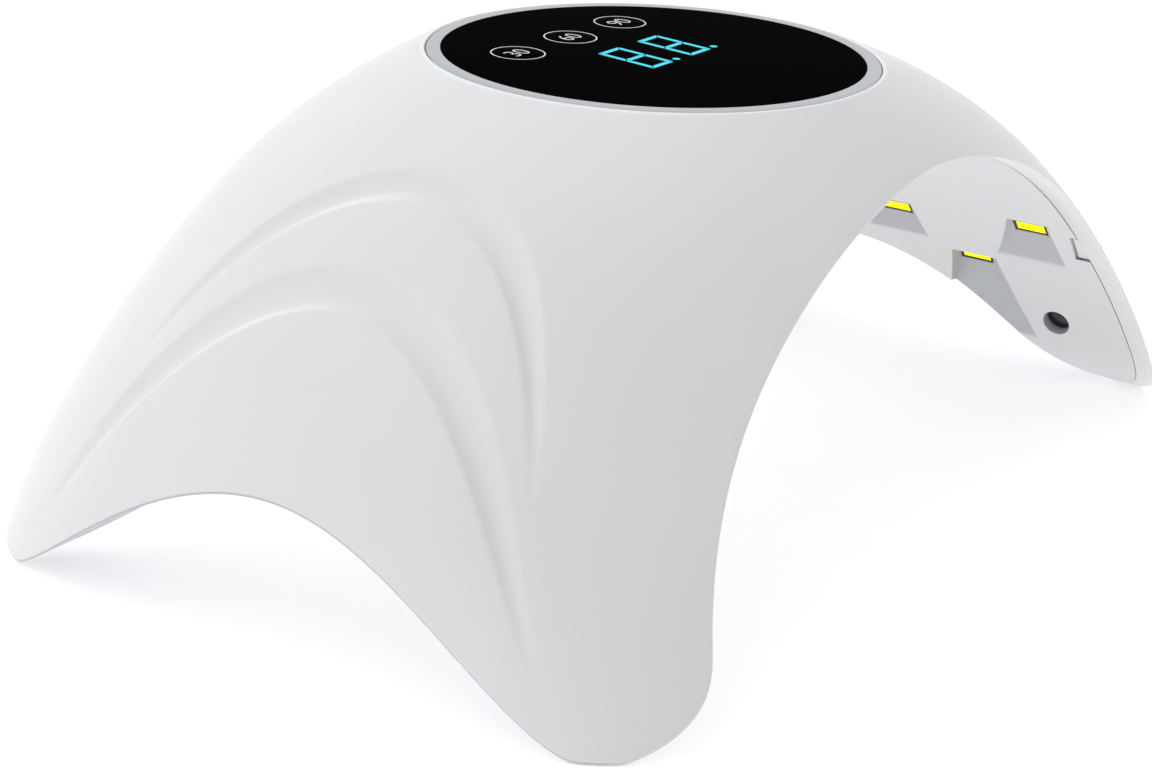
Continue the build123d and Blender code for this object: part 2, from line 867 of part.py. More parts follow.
os.makedirs("parts", exist_ok=True)
write("outer_shell", make_outer_shell())
write("inner_liner", make_inner_liner())
write("display_bezel", make_bezel())
write("display_lens", make_lens())
write("lens_adhesive", ring(lens_radius - adhesive_inset, lens_radius - adhesive_inset - adhesive_width,
                            seat_top, lens_bottom))
write("digit_segments", digit_solids(0, lens_bottom - segment_gap, lens_top))
write("digit_module", make_digit_module())
for label, x in zip(("left", "middle", "right"), button_xs()):
    write("button_" + label, make_button(x))
    write("switch_plunger_" + label, make_plunger(x))
    write("switch_body_" + label, make_switch(x))
write("main_board", make_main_board())
write("board_screws", make_screws())
write("power_socket", make_socket())
write("controller_chip", make_chip())
write("smoothing_capacitor", make_capacitor())
write("driver_transistors", row_of_parts(chip_length / 2 + part_pitch, transistor_count, transistor_length,
                                         transistor_width, transistor_height, part_row_y))
write("sense_resistors", row_of_parts(-part_pitch, resistor_count, resistor_length, resistor_width,
                                      resistor_height, part_row_y - chip_width))
connectors = [make_connector()]
write("lead_connectors", both_sides(connectors))
strip = make_light_board()
write("light_board_right", strip)
write("light_board_left", mirrored([strip]))
singles = make_single_boards()
write("lower_boards_right", singles)
write("lower_boards_left", mirrored(singles))
emitters = make_emitters()
write("emitters_right", emitters)
write("emitters_left", mirrored(emitters))
frames = make_emitter_frames()
write("emitter_frames_right", frames)
write("emitter_frames_left", mirrored(frames))
sensor_board = make_sensor_board()
write("sensor_board_right", sensor_board)
write("sensor_board_left", mirrored([sensor_board]))
device = make_sensor_device()
write("infrared_sender", device)
write("infrared_receiver", mirrored([device]))
leads = make_leads()
write("leads_right", leads)
write("leads_left", mirrored(leads))
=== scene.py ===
from collections import namedtuple
from math import pi, radians

import bmesh
import bpy
import numpy as np
from bpy.props import FloatProperty, FloatVectorProperty, IntProperty, PointerProperty
from bpy.types import Operator, Panel, PropertyGroup
from mathutils import Matrix, Vector


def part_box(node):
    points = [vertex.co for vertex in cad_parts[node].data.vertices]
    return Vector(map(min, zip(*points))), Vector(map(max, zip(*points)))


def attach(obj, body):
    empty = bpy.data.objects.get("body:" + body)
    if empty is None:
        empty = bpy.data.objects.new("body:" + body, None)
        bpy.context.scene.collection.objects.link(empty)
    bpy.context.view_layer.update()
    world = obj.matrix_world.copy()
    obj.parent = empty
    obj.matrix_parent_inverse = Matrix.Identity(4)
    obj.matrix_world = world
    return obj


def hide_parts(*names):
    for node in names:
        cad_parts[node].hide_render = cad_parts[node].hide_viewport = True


bl_info = {
    "name": "Nail Lamp",
    "version": (1, 0, 0),
    "blender": (4, 5, 0),
    "location": "3D View > Sidebar > Nail Lamp",
    "description": "Dresses the packed nail lamp: moulded shell, liner, display, buttons and lights",
    "category": "Object",
}

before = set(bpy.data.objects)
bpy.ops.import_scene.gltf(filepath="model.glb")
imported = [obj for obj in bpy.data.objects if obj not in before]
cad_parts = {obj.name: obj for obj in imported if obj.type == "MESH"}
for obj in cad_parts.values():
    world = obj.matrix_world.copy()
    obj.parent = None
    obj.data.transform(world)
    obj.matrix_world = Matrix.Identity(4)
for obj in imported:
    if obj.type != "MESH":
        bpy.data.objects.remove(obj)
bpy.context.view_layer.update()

MM = 0.001
SHARP = radians(40)

# The dome's form: for X and for Y a power and a share of crown, then the crown's power, what the plan's
# power gains at the ground, the power it falls by, and how far lines of equal turn lean
Fall = namedtuple("Fall", "power crown")
Form = namedtuple("Form", "falls crown_power squareness squareness_power lean")
DOME_FORM = Form((Fall(2.33, 0.206), Fall(3.46, 0.091)), 8, 2.27, 2.77, 0.35)

# The two relief lines on each side of the dome, and how far out the relief starts; lengths in millimetres
Ridge = namedtuple("Ridge", "apex half_span drop roundness reach width")
RIDGES = (Ridge(52.4, 36.0, 50.0, 0.5, 0.917, 5.9), Ridge(41.7, 43.0, 42.3, 1.0, 0.953, 6.6))
RELIEF_START = 20.0

# The valley above a ridge: its floor's place and its greatest depth as shares of its width, the fade that
# it is full from, and the powers of its ends and of its two slopes
Valley = namedtuple("Valley", "floor deepest full_from end_power near_power far_power")
VALLEY = Valley(0.38, 0.28, 0.75, 1.5, 2.2, 2)

# The painted highlight along a crest: half width in millimetres, how fast its ends fade, and where it ends
CrestHighlight = namedtuple("CrestHighlight", "half_width fade end")
CREST_HIGHLIGHT = CrestHighlight(0.35, 4.0, 0.85)

# The hand tunnel: a superellipse arch that flares at the toes; lengths in millimetres
Tunnel = namedtuple("Tunnel", "half_width height power toe_flare toe_height toe_power")
TUNNEL = Tunnel(70.0, 53.8, 1.85, 10.0, 12.0, 3)

# The painted highlight on the tunnel's lip: the heights in millimetres that its strength grows between,
# and its least strength
Lip = namedtuple("Lip", "low high least")
LIP_HIGHLIGHT = Lip(35.0, 45.0, 0.35)

# The lower arch in each side; lengths in millimetres
SideArch = namedtuple("SideArch", "height half_width power")
SIDE_ARCH = SideArch(21.0, 44.5, 1.4)

# The field of light windows, whose faces get painted shade: how far beyond the wall's curve their faces
# start, how fast the painted shade sets in, and the field's top and half length; lengths in millimetres
Windows = namedtuple("Windows", "start rise top half_length")
WINDOWS = Windows(0.1, 6.0, 33.0, 42.0)

# Screw bosses under the display seat, snap tabs at the liner and the power socket's slot, in millimetres
Boss = namedtuple("Boss", "x y bore radius foot overlap")
BOSS = Boss(23.75, 14.84, 0.9, 2.0, 56.5, 0.1)
Tab = namedtuple("Tab", "foot top near far gap thinnest")
TAB = Tab(26.0, 29.8, 43.4, 48.0, 0.55, 0.2)
SOCKET_SLOT = ((-4.2, 25.5, 56.2), (4.2, 60.0, 59.2))

# Directions that the studio's sky is lit from, each as a soft lobe, and the power that shapes a lobe
SKY_LOBES = {"top": (0.0, 0.0, 1.0), "near": (-0.7316, -0.4635, 0.5), "far": (0.7316, 0.4635, 0.5),
             "left": (-0.4635, 0.7316, 0.5)}
LOBE_POWER = 2.0


def linear(colour):
    """Linear RGBA of an sRGB hex colour."""
    channels = [int(colour[place:place + 2], 16) / 255 for place in (0, 2, 4)]
    bent = [c / 12.92 if c <= 0.04045 else ((c + 0.055) / 1.055) ** 2.4 for c in channels]
    return (*bent, 1.0)


def length(name, description, default):
    """A length property, given in millimetres."""
    return FloatProperty(name=name, description=description, default=default * MM, unit="LENGTH",
                         subtype="DISTANCE", precision=5)


def colour(name, description, default):
    """A colour property, given as an sRGB hex value."""
    return FloatVectorProperty(name=name, description=description, default=linear(default), size=4,
                               subtype="COLOR", min=0, max=1)


class ShellSizes(PropertyGroup):
    """Sizes of the outer shell."""
    height: length("Height", "Height of the collar's top", 61.7)
    side_reach: length("Side reach", "Half width at the ground", 88.0)
    front_reach: length("Front reach", "Half depth at the ground", 63.7)
    collar: length("Collar", "Outer radius of the collar round the display", 32.8)
    recess: length("Recess", "Radius of the recess for the silver ring", 32.3)
    collar_chamfer: length("Collar chamfer", "Chamfer inside the collar's top", 0.12)
    seat: length("Seat", "Inner radius of the display seat", 26.5)
    seat_top: length("Seat top", "Height of the seat's top", 59.9)
    seat_bottom: length("Seat bottom", "Height of the seat's underside", 58.1)
    wall: length("Wall", "Wall thickness of the moulding", 2.15)
    edge: length("Edge rounding", "Rounding of the lower edge", 0.55)
    valley_depth: length("Valley depth", "Depth of a valley at the apex", 1.0)
    columns: IntProperty(name="Columns", description="Columns of the surface round the dome", default=620)
    rows: IntProperty(name="Rows", description="Rows of the outer skin from the edge to the collar",
                      default=132)


class DisplaySizes(PropertyGroup):
    """Sizes of the display's ring, buttons and prints."""
    ring_inner: length("Ring inside", "Inner radius of the silver ring", 30.1)
    ring_outer: length("Ring outside", "Outer radius of the silver ring", 32.2)
    ring_bevel: length("Ring bevel", "Width of the ring's outer bevel", 0.3)
    ring_corner: length("Ring corner", "Rounding of the ring's corners", 0.14)
    cap_radius: length("Cap radius", "Radius of a button cap", 4.2)
    cap_sink: length("Cap sink", "How far a cap's face lies below the top of its solid", 0.06)
    cap_edge: length("Cap edge", "Rounding of a cap's edge", 0.16)
    cap_bulge: length("Cap bulge", "How far the middle of that rounding stays inside", 0.05)
    flange_radius: length("Flange radius", "Radius of a button's flange", 5.0)
    flange_height: length("Flange height", "Thickness of a button's flange", 0.9)
    print_radius: length("Print radius", "Outer radius of the printed ring", 3.9)
    print_width: length("Print width", "Line width of the printed ring", 0.2)
    print_sink: length("Print sink", "How deep a print sits in the cap", 0.01)
    print_rise: length("Print rise", "How far a print stands above the cap", 0.03)
    figure_height: length("Figure height", "Height of the numbers on the buttons", 2.8)
    figure_thinning: length("Figure thinning", "How much thinner a number's strokes are drawn", 0.05)


def glow(name, description, default):
    """A light's strength in red, green and blue."""
    return FloatVectorProperty(name=name, description=description, default=default, size=3, min=0,
                               soft_max=4, subtype="COLOR")


def angle(name, description, default):
    """An angle property, given in degrees."""
    return FloatProperty(name=name, description=description, default=radians(default), unit="ROTATION",
                         subtype="ANGLE")


def spot(name, description, default):
    """A place in metres."""
    return FloatVectorProperty(name=name, description=description, default=default, size=3,
                               unit="LENGTH", subtype="XYZ", precision=4)


class StageSettings(PropertyGroup):
    """Camera, floor and light."""
    focal: FloatProperty(name="Focal length", description="Focal length of the camera", default=79.62,
                         unit="CAMERA")
    sensor: FloatProperty(name="Sensor", description="Width of the camera's sensor", default=36.0,
                          unit="CAMERA")
    turn: angle("Turn", "Camera's turn round the lamp", -57.645)
    tip: angle("Tip", "How far the camera looks down", 20.792)
    roll: angle("Roll", "Camera's roll", 2.722)
    place: spot("Camera place", "Where the camera stands", (-0.302917, -0.181572, 0.145358))
    aim: spot("Light's aim", "Place that the key light faces", (0.0, 0.0, 0.03))
    key_place: spot("Key light's place", "Where the key light hangs", (-0.7, 0.3, 1.05))
    key_size: length("Key light's size", "Side of the square key light", 900.0)
    key: glow("Key light", "Large light high at the left", (0.6, 0.6, 0.63))
    floor_reach: length("Floor reach", "Half width of the floor", 6000.0)
    floor_drop: length("Floor drop", "How far the floor lies below the toes", 0.05)
    table: glow("Table", "Light given by the glowing table", (0.315, 0.316, 0.318))
    table_lift: FloatProperty(name="Table lift", default=0.1, min=0,
                              description="What camera, glossy and transmission rays see on top of that")
    top: glow("Sky, top", "Light from overhead", (0.645, 0.648, 0.655))
    near: glow("Sky, near", "Light from the camera's side", (0.28, 0.281, 0.29))
    far: glow("Sky, far", "Light from behind the lamp", (0.875, 0.878, 0.885))
    left: glow("Sky, left", "Light from the camera's left", (0.765, 0.768, 0.755))


class LampColours(PropertyGroup):
    """Main colours of the lamp."""
    shell: colour("Shell", "White of the moulded shell", "EDEDEE")
    liner: colour("Liner", "White of the inner liner", "E8E8EA")
    # Painted shade: the rounded lower edge is drawn in this grey for the shadow along it
    rim: colour("Lower edge", "Grey of the shell's rounded lower edge", "C8C8CC")
    # Painted highlight: the crests, the tunnel's lip and the collar are drawn in this pale tone
    crest: colour("Crests", "Pale tone of the crests, the tunnel's lip and the collar", "FCFCFD")
    # Painted shade: the windows' faces are drawn in this grey for the shade that falls in them
    recess: colour("Recesses", "Grey of the light windows' textured faces", "C6C8CD")
    silver: colour("Silver", "Silver of the display ring", "B8BBC0")
    panel: colour("Panel", "Black of the display panel", "040405")
    digits: colour("Digits", "Cyan of the lit digits", "2FD9EC")
    emitter: colour("Emitters", "Yellow of the light emitters", "F6F21C")
    floor: colour("Floor", "Pale colour of the floor", "F2F2F2")


# Materials

def add_node(tree, kind, settings=(), inputs=()):
    """Add a node; settings are its own fields, inputs are sockets set to a value or linked."""
    node = tree.nodes.new(kind)
    for field, value in dict(settings).items():
        setattr(node, field, value)
    for socket, value in dict(inputs).items():
        if isinstance(value, bpy.types.NodeSocket):
            tree.links.new(value, node.inputs[socket])
        else:
            node.inputs[socket].default_value = value
    return node


def new_material(name):
    """Empty material with a surface shader; gives the material, its tree, the shader and the place."""
    material = bpy.data.materials.new(name)
    material.use_nodes = True
    tree = material.node_tree
    tree.nodes.clear()
    shader = add_node(tree, "ShaderNodeBsdfPrincipled")
    add_node(tree, "ShaderNodeOutputMaterial", inputs={"Surface": shader.outputs["BSDF"]})
    place = add_node(tree, "ShaderNodeTexCoord").outputs["Object"]
    return material, tree, shader, place


def worked_out(tree, values, formula):
    """Result of a formula: an operation, two terms and, where it is kept from 0 to 1, "held".

    A term is a number, the name of one of the values, or a formula.
    """
    known = dict(values)

    def result(term):
        if isinstance(term, tuple) and term not in known:
            operation, first, second, *held = term
            step = add_node(tree, "ShaderNodeMath", {"operation": operation, "use_clamp": bool(held)},
                            {0: result(first), 1: result(second)})
            known[term] = step.outputs[0]
        return known.get(term, term)
    return result(formula)


def seen_directly(tree):
    """1 for rays of the camera and for those that metal and glass send back or on, 0 for light."""
    seen = ("MAXIMUM", ("MAXIMUM", "Is Camera Ray", "Is Glossy Ray"), "Is Transmission Ray")
    return worked_out(tree, add_node(tree, "ShaderNodeLightPath").outputs.items(), seen)


def scaled(shade, factor):
    """A colour made darker or lighter."""
    return (*[min(1.0, channel * factor) for channel in shade[:3]], 1.0)


def drifting(tree, shader, pattern, shade, tones, gloss):
    """Colour between two tones of a shade, and roughness between two values, that drift with a pattern."""
    dark, pale = (scaled(shade, tone) for tone in tones)
    tone = add_node(tree, "ShaderNodeMix", {"data_type": "RGBA"}, {0: pattern, 6: dark, 7: pale})
    tree.links.new(tone.outputs[2], shader.inputs["Base Color"])
    rough = add_node(tree, "ShaderNodeMapRange",
                     inputs={"Value": pattern, "To Min": gloss[0], "To Max": gloss[1]})
    tree.links.new(rough.outputs[0], shader.inputs["Roughness"])


def moulded(name, shade, roughness, grain_mm, relief_mm=0.02):
    """Moulded plastic: a near even colour, a soft drift in gloss and a fine grain."""
    drift_mm = 22.2
    material, tree, shader, place = new_material(name)
    drift = add_node(tree, "ShaderNodeTexNoise",
                     inputs={"Vector": place, "Scale": 1 / (drift_mm * MM), "Detail": 3.0})
    drifting(tree, shader, drift.outputs[0], shade, tones=(0.97, 1.03),
             gloss=(roughness * 0.85, roughness * 1.15))
    # The real grain is finer; it is drawn as coarse as it needs to show
    grain = add_node(tree, "ShaderNodeTexNoise",
                     inputs={"Vector": place, "Scale": 1 / (grain_mm * MM), "Detail": 2.0})
    bump = add_node(tree, "ShaderNodeBump",
                    inputs={"Height": grain.outputs[0], "Strength": 0.35, "Distance": relief_mm * MM})
    tree.links.new(bump.outputs[0], shader.inputs["Normal"])
    shader.inputs["IOR"].default_value = 1.53
    return material


def recess_shade_mask(tree, place):
    """Mask of painted shade: 1 on faces cut into the tunnel's wall, 0 on the wall, from how far a point
    lies beyond the wall's curve.

    The curve is the one of tunnel_half. Only the part of the wall that holds the windows is looked at.
    """
    height = ("DIVIDE", "Z", MM)
    share = ("DIVIDE", height, TUNNEL.height, "held")
    curve = ("SUBTRACT", 1.0, ("POWER", share, TUNNEL.power))
    arch = ("MULTIPLY", ("POWER", curve, 1 / TUNNEL.power), TUNNEL.half_width)
    toe = ("SUBTRACT", 1.0, ("DIVIDE", height, TUNNEL.toe_height), "held")
    flare = ("MULTIPLY", ("POWER", toe, TUNNEL.toe_power), TUNNEL.toe_flare)
    beyond = ("SUBTRACT", ("DIVIDE", ("ABSOLUTE", "X", 0.0), MM), ("ADD", arch, flare))
    deep = ("MULTIPLY", ("SUBTRACT", beyond, WINDOWS.start), WINDOWS.rise, "held")
    low = ("LESS_THAN", height, WINDOWS.top)
    inside = ("LESS_THAN", ("ABSOLUTE", "Y", 0.0), WINDOWS.half_length * MM)
    axes = add_node(tree, "ShaderNodeSeparateXYZ", inputs={0: place}).outputs
    return worked_out(tree, axes.items(), ("MULTIPLY", deep, ("MULTIPLY", low, inside)))


def lay_over(material, masked_by, shade):
    """Lay a shade over a material's colour where a mask, made from the tree and the place, is 1."""
    tree = material.node_tree
    shader = next(node for node in tree.nodes if node.type == "BSDF_PRINCIPLED")
    place = next(node for node in tree.nodes if node.type == "TEX_COORD").outputs["Object"]
    plain = shader.inputs["Base Color"].links[0].from_socket
    tone = add_node(tree, "ShaderNodeMix", {"data_type": "RGBA"},
                    {0: masked_by(tree, place), 6: plain, 7: shade})
    tree.links.new(tone.outputs[2], shader.inputs["Base Color"])


def marked(name):
    """Mask from an attribute of the mesh."""
    def masked(tree, place):
        return add_node(tree, "ShaderNodeAttribute", {"attribute_name": name}).outputs["Fac"]
    return masked


def crest_highlight_mask(ridge):
    """Mask of a painted highlight: a thin line along a ridge's crest, on its half at positive Y,
    nearer the strongest light.

    The crest's height is the one of ridge_line. A point's distance from it is the height between them,
    over the root of 1 plus the crest's slope squared.
    """
    height = ("DIVIDE", "Z", MM)
    share = ("DIVIDE", ("DIVIDE", "Y", MM), ridge.half_span)
    curve = ("SUBTRACT", 1.0, ("MULTIPLY", share, share), "held")
    fall = ("SUBTRACT", 1.0, ("POWER", curve, ridge.roundness))
    crest = ("SUBTRACT", ridge.apex, ("MULTIPLY", fall, ridge.drop))
    slope = ("MULTIPLY", share, 2 * ridge.drop * ridge.roundness / ridge.half_span)
    steepness = ("SQRT", ("ADD", 1.0, ("MULTIPLY", slope, slope)), 0.0)
    away = ("ABSOLUTE", ("DIVIDE", ("SUBTRACT", height, crest), steepness), 0.0)
    line = ("SUBTRACT", 1.0, ("DIVIDE", away, CREST_HIGHLIGHT.half_width), "held")
    begin = ("MULTIPLY", share, CREST_HIGHLIGHT.fade, "held")
    end = ("MULTIPLY", ("SUBTRACT", CREST_HIGHLIGHT.end, share), CREST_HIGHLIGHT.fade, "held")
    aside = ("GREATER_THAN", ("ABSOLUTE", "X", 0.0), RELIEF_START * MM)
    span = ("MULTIPLY", ("MULTIPLY", begin, end), aside)

    def masked(tree, place):
        axes = add_node(tree, "ShaderNodeSeparateXYZ", inputs={0: place}).outputs
        return worked_out(tree, axes.items(), ("MULTIPLY", line, span))
    return masked


def shell_material(shade, painted_edge_shade, painted_highlight):
    """Gloss white plastic, with painted shade on the low edge and a painted highlight on the tunnel's lip,
    the collar and the crests.
    """
    material = moulded("ABS, gloss moulded", shade, roughness=0.34, grain_mm=0.35)
    # Painted shade along the rounded low edge and the toes
    lay_over(material, marked("rim"), painted_edge_shade)
    # Painted highlight on the tunnel's lip and the collar
    lay_over(material, marked("lip"), painted_highlight)
    # Painted highlight along each ridge's crest
    for ridge in RIDGES:
        lay_over(material, crest_highlight_mask(ridge), painted_highlight)
    return material


def liner_material(shade, painted_recess_shade):
    """Satin plastic, with painted shade on the windows' faces, which are drawn greyer."""
    material = moulded("ABS, satin moulded", shade, roughness=0.42, grain_mm=0.4)
    # Painted shade laid over the windows' faces
    lay_over(material, recess_shade_mask, painted_recess_shade)
    return material


def metal(name, shade, roughness, line_mm, radial=False):
    """Metal with fine tool lines, turned round Z or drawn along X."""
    material, tree, shader, place = new_material(name)
    if radial:
        flat = add_node(tree, "ShaderNodeVectorMath", {"operation": "MULTIPLY"}, {0: place, 1: (1, 1, 0)})
        reach = add_node(tree, "ShaderNodeVectorMath", {"operation": "LENGTH"}, {0: flat.outputs[0]})
        across = reach.outputs["Value"]
    else:
        across = add_node(tree, "ShaderNodeSeparateXYZ", inputs={0: place}).outputs["Y"]
    # The real lines are finer; they are drawn as coarse as they need to show
    lines = add_node(tree, "ShaderNodeTexNoise", {"noise_dimensions": "1D"},
                     {"W": across, "Scale": 1 / (line_mm * MM), "Detail": 3.0})
    drifting(tree, shader, lines.outputs[0], shade, tones=(0.9, 1.08),
             gloss=(roughness * 0.7, roughness * 1.3))
    bump = add_node(tree, "ShaderNodeBump",
                    inputs={"Height": lines.outputs[0], "Strength": 0.2, "Distance": 0.01 * MM})
    tree.links.new(bump.outputs[0], shader.inputs["Normal"])
    shader.inputs["Metallic"].default_value = 1.0
    return material


def lit(name, shade, strength, base, patch_mm):
    """Glowing part: light that is a little uneven over a coloured body, with next to no shine."""
    material, tree, shader, place = new_material(name)
    patches = add_node(tree, "ShaderNodeTexNoise",
                       inputs={"Vector": place, "Scale": 1 / (patch_mm * MM), "Detail": 1.0})
    for socket, even in (("Emission Color", shade), ("Base Color", base)):
        tone = add_node(tree, "ShaderNodeMix", {"data_type": "RGBA"},
                        {0: patches.outputs[0], 6: scaled(even, 0.9), 7: scaled(even, 1.1)})
        tree.links.new(tone.outputs[2], shader.inputs[socket])
    shader.inputs["Emission Strength"].default_value = strength
    shader.inputs["Roughness"].default_value = 0.35
    shader.inputs["Specular IOR Level"].default_value = 0.05
    return material


def panel_material(name, shade):
    """Black smoked acrylic, polished: deep black with a faint drift in tone.

    Its mirror shine is all but left out, because the pale studio would lay a grey veil over the black.
    """
    wave_mm = 16.7
    material, tree, shader, place = new_material(name)
    wave = add_node(tree, "ShaderNodeTexNoise",
                    inputs={"Vector": place, "Scale": 1 / (wave_mm * MM), "Detail": 1.0})
    drifting(tree, shader, wave.outputs[0], shade, tones=(0.7, 1.3), gloss=(0.09, 0.13))
    shader.inputs["IOR"].default_value = 1.49
    shader.inputs["Specular IOR Level"].default_value = 0.0001
    return material


def dress(material, *nodes):
    """Give carried-over solids their material."""
    for node in nodes:
        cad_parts[node].material_slots[0].material = material


# Surfaces

def grid_faces(rows, columns, close_rows=False):
    """Quads between neighbouring points of a grid, counted row by row; every row is a ring."""
    row = np.arange(rows if close_rows else rows - 1)[:, None]
    column = np.arange(columns)[None, :]
    next_row = (row + 1) % rows
    next_column = (column + 1) % columns
    corners = [row * columns + column, row * columns + next_column,
               next_row * columns + next_column, next_row * columns + column]
    return np.stack(corners, axis=-1).reshape(-1, 4)


def enclosed(points, faces):
    """Signed volume that quads enclose, positive when they face outwards."""
    a, b, c, d = (points[faces[:, corner]] for corner in range(4))
    return (np.einsum("ij,ij->", a, np.cross(b, c)) + np.einsum("ij,ij->", a, np.cross(c, d))) / 6


def put(name, data):
    """New object in the scene, at the origin."""
    thing = bpy.data.objects.new(name, data)
    bpy.context.scene.collection.objects.link(thing)
    return thing


def make_piece(name, points, faces, material, body="root", slot=None, smooth=True, merge=True):
    """Mesh piece from points in millimetres and quads, closed and facing outwards."""
    points = np.asarray(points, float).reshape(-1, 3)
    if enclosed(points, faces) < 0:
        faces = faces[:, ::-1]
    mesh = bpy.data.meshes.new(name)
    mesh.from_pydata((points * MM).tolist(), [], faces.tolist())
    if merge:
        work = bmesh.new()
        work.from_mesh(mesh)
        bmesh.ops.remove_doubles(work, verts=work.verts, dist=1e-7)
        bmesh.ops.dissolve_degenerate(work, edges=work.edges, dist=1e-8)
        work.to_mesh(mesh)
        work.free()
    mesh.polygons.foreach_set("use_smooth", np.full(len(mesh.polygons), smooth))
    mesh.materials.append(material)
    piece = put(name, mesh)
    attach(piece, body)
    return piece


def turned(profile, turns):
    """Surface turned round Z: radius and height of a profile, carried round a full circle."""
    profile = np.asarray(profile, float)
    angles = np.linspace(0, 2 * pi, turns, endpoint=False)
    x = profile[:, :1] * np.cos(angles)
    y = profile[:, :1] * np.sin(angles)
    z = np.repeat(profile[:, 1:], turns, axis=1)
    return np.stack([x, y, z], axis=-1)


def make_turned(name, profile, turns, material, centre=(0, 0), closed=True, **rest):
    """Piece turned from a profile round an upright line; one that starts and ends on it isn't closed."""
    surface = turned(profile, turns) + np.array([*centre, 0])
    return make_piece(name, surface, grid_faces(len(profile), turns, close_rows=closed), material, **rest)


def rounded(corners, radius, steps=4, room=2.2):
    """Closed profile with each corner rounded: a parabola between points a radius away along both sides.

    A short side keeps room for the roundings at both its ends.
    """
    corners = np.asarray(corners, float)
    before = np.roll(corners, 1, axis=0) - corners
    after = np.roll(corners, -1, axis=0) - corners
    size_before = np.linalg.norm(before, axis=1, keepdims=True)
    size_after = np.linalg.norm(after, axis=1, keepdims=True)
    radius = np.minimum(radius, np.minimum(size_before, size_after) / room)
    start = corners + before / size_before * radius
    end = corners + after / size_after * radius
    share = np.linspace(0, 1, steps + 1)[None, :, None]
    curve = (1 - share) ** 2 * start[:, None] + 2 * share * (1 - share) * corners[:, None]
    curve = curve + share**2 * end[:, None]
    return curve.reshape(-1, corners.shape[1])


class Dome:
    """Outer form of the lamp, in millimetres.

    A plan at height z is a superellipse. With w = z / height, its half sizes fall from the reach at the
    ground to the collar's radius by a mix of two powers of w, and its power falls to 2, a circle, at the
    collar with a power of 1 - w. Lines of equal turn lean towards the front and the back as they go
    down, so that each one meets the rim once and at a clear angle.
    """

    def __init__(self, sizes, inset=0.0):
        self.height = sizes.height / MM - inset
        self.collar = sizes.collar / MM
        self.reaches = (sizes.side_reach / MM, sizes.front_reach / MM)
        self.inset = inset

    def half(self, share, axis):
        """Half size of the plan along X or Y."""
        power, crown = DOME_FORM.falls[axis]
        fall = (1 - crown) * share**power + crown * share**DOME_FORM.crown_power
        return self.reaches[axis] - self.inset - (self.reaches[axis] - self.collar) * fall

    def power(self, share):
        """Superellipse power of the plan."""
        return 2 + DOME_FORM.squareness * (1 - share) ** DOME_FORM.squareness_power

    def points(self, turn, height):
        """Points at turns and heights; turn is the angle that sets the direction in the plan."""
        share = np.clip(height / self.height, 0, 1)
        power = self.power(share)
        leaning = turn + DOME_FORM.lean * (1 - share) * np.sin(2 * turn)
        across = np.cos(leaning)
        along = np.sin(leaning)
        norm = (np.abs(across) ** power + np.abs(along) ** power) ** (1 / power)
        x = self.half(share, 0) * across / norm
        y = self.half(share, 1) * along / norm
        return np.stack(np.broadcast_arrays(x, y, height), axis=-1)

    def side_point(self, y, height):
        """Points of the right side at given y and height."""
        share = height / self.height
        power = self.power(share)
        reach = np.clip(np.abs(y) / self.half(share, 1), 0, 1)
        x = self.half(share, 0) * (1 - reach**power) ** (1 / power)
        return np.stack(np.broadcast_arrays(x, y, height), axis=-1)


def tunnel_half(height):
    """Half width of the hand tunnel: half of a superellipse, with flared toes.

    With w = height / top, the arch is the half width times the root, of the same power, of 1 minus w to
    its power. The flare falls from the ground to the toe's height as a power of the share left.
    """
    share = np.clip(height / TUNNEL.height, 0, 1)
    arch = TUNNEL.half_width * (1 - share**TUNNEL.power) ** (1 / TUNNEL.power)
    return arch + TUNNEL.toe_flare * np.clip(1 - height / TUNNEL.toe_height, 0, 1) ** TUNNEL.toe_power


def side_arch_height(y):
    """Height of the side arch: its top's height times a power of 1 - (y / half width) squared."""
    return SIDE_ARCH.height * np.clip(1 - (y / SIDE_ARCH.half_width) ** 2, 0, 1) ** SIDE_ARCH.power


def is_open(points):
    """True where a point lies in the hand tunnel or under a side arch."""
    height = points[..., 2]
    tunnel = (np.abs(points[..., 0]) < tunnel_half(height)) & (height < TUNNEL.height)
    return tunnel | (height < side_arch_height(points[..., 1]))


def rim_heights(dome, turn, steps=400, rounds=26):
    """Height at which each column of the dome meets the openings: the highest crossing, halved in on."""
    heights = np.linspace(0, dome.height, steps)
    inside = is_open(dome.points(turn[:, None], heights[None, :]))
    last = steps - 1 - np.argmax(inside[:, ::-1], axis=1)
    found = inside.any(axis=1)
    low = np.where(found, heights[last], 0.0)
    high = np.where(found, heights[np.minimum(last + 1, steps - 1)], 0.0)
    for _ in range(rounds):
        middle = (low + high) / 2
        under = is_open(dome.points(turn, middle))
        low = np.where(under, middle, low)
        high = np.where(under, high, middle)
    return high


def ridge_line(dome, ridge, count=401, rise=0.05):
    """A ridge on the right side: share from -1 to 1 along it, points, steps along and the way up, square.

    Its height is the apex less the drop times 1 minus a power of 1 - (y / half span) squared.
    """
    share = np.linspace(-1, 1, count)
    y = ridge.half_span * ridge.reach * np.sin(pi / 2 * share)
    height = ridge.apex - ridge.drop * (1 - (1 - (y / ridge.half_span) ** 2) ** ridge.roundness)
    line = dome.side_point(y, height)
    ahead = np.gradient(line, axis=0)
    up = dome.side_point(y, height + rise) - line
    lean = np.einsum("ij,ij->i", up, ahead) / np.einsum("ij,ij->i", ahead, ahead)
    up = up - ahead * lean[:, None]
    return share, line, ahead, up / np.linalg.norm(up, axis=-1, keepdims=True)


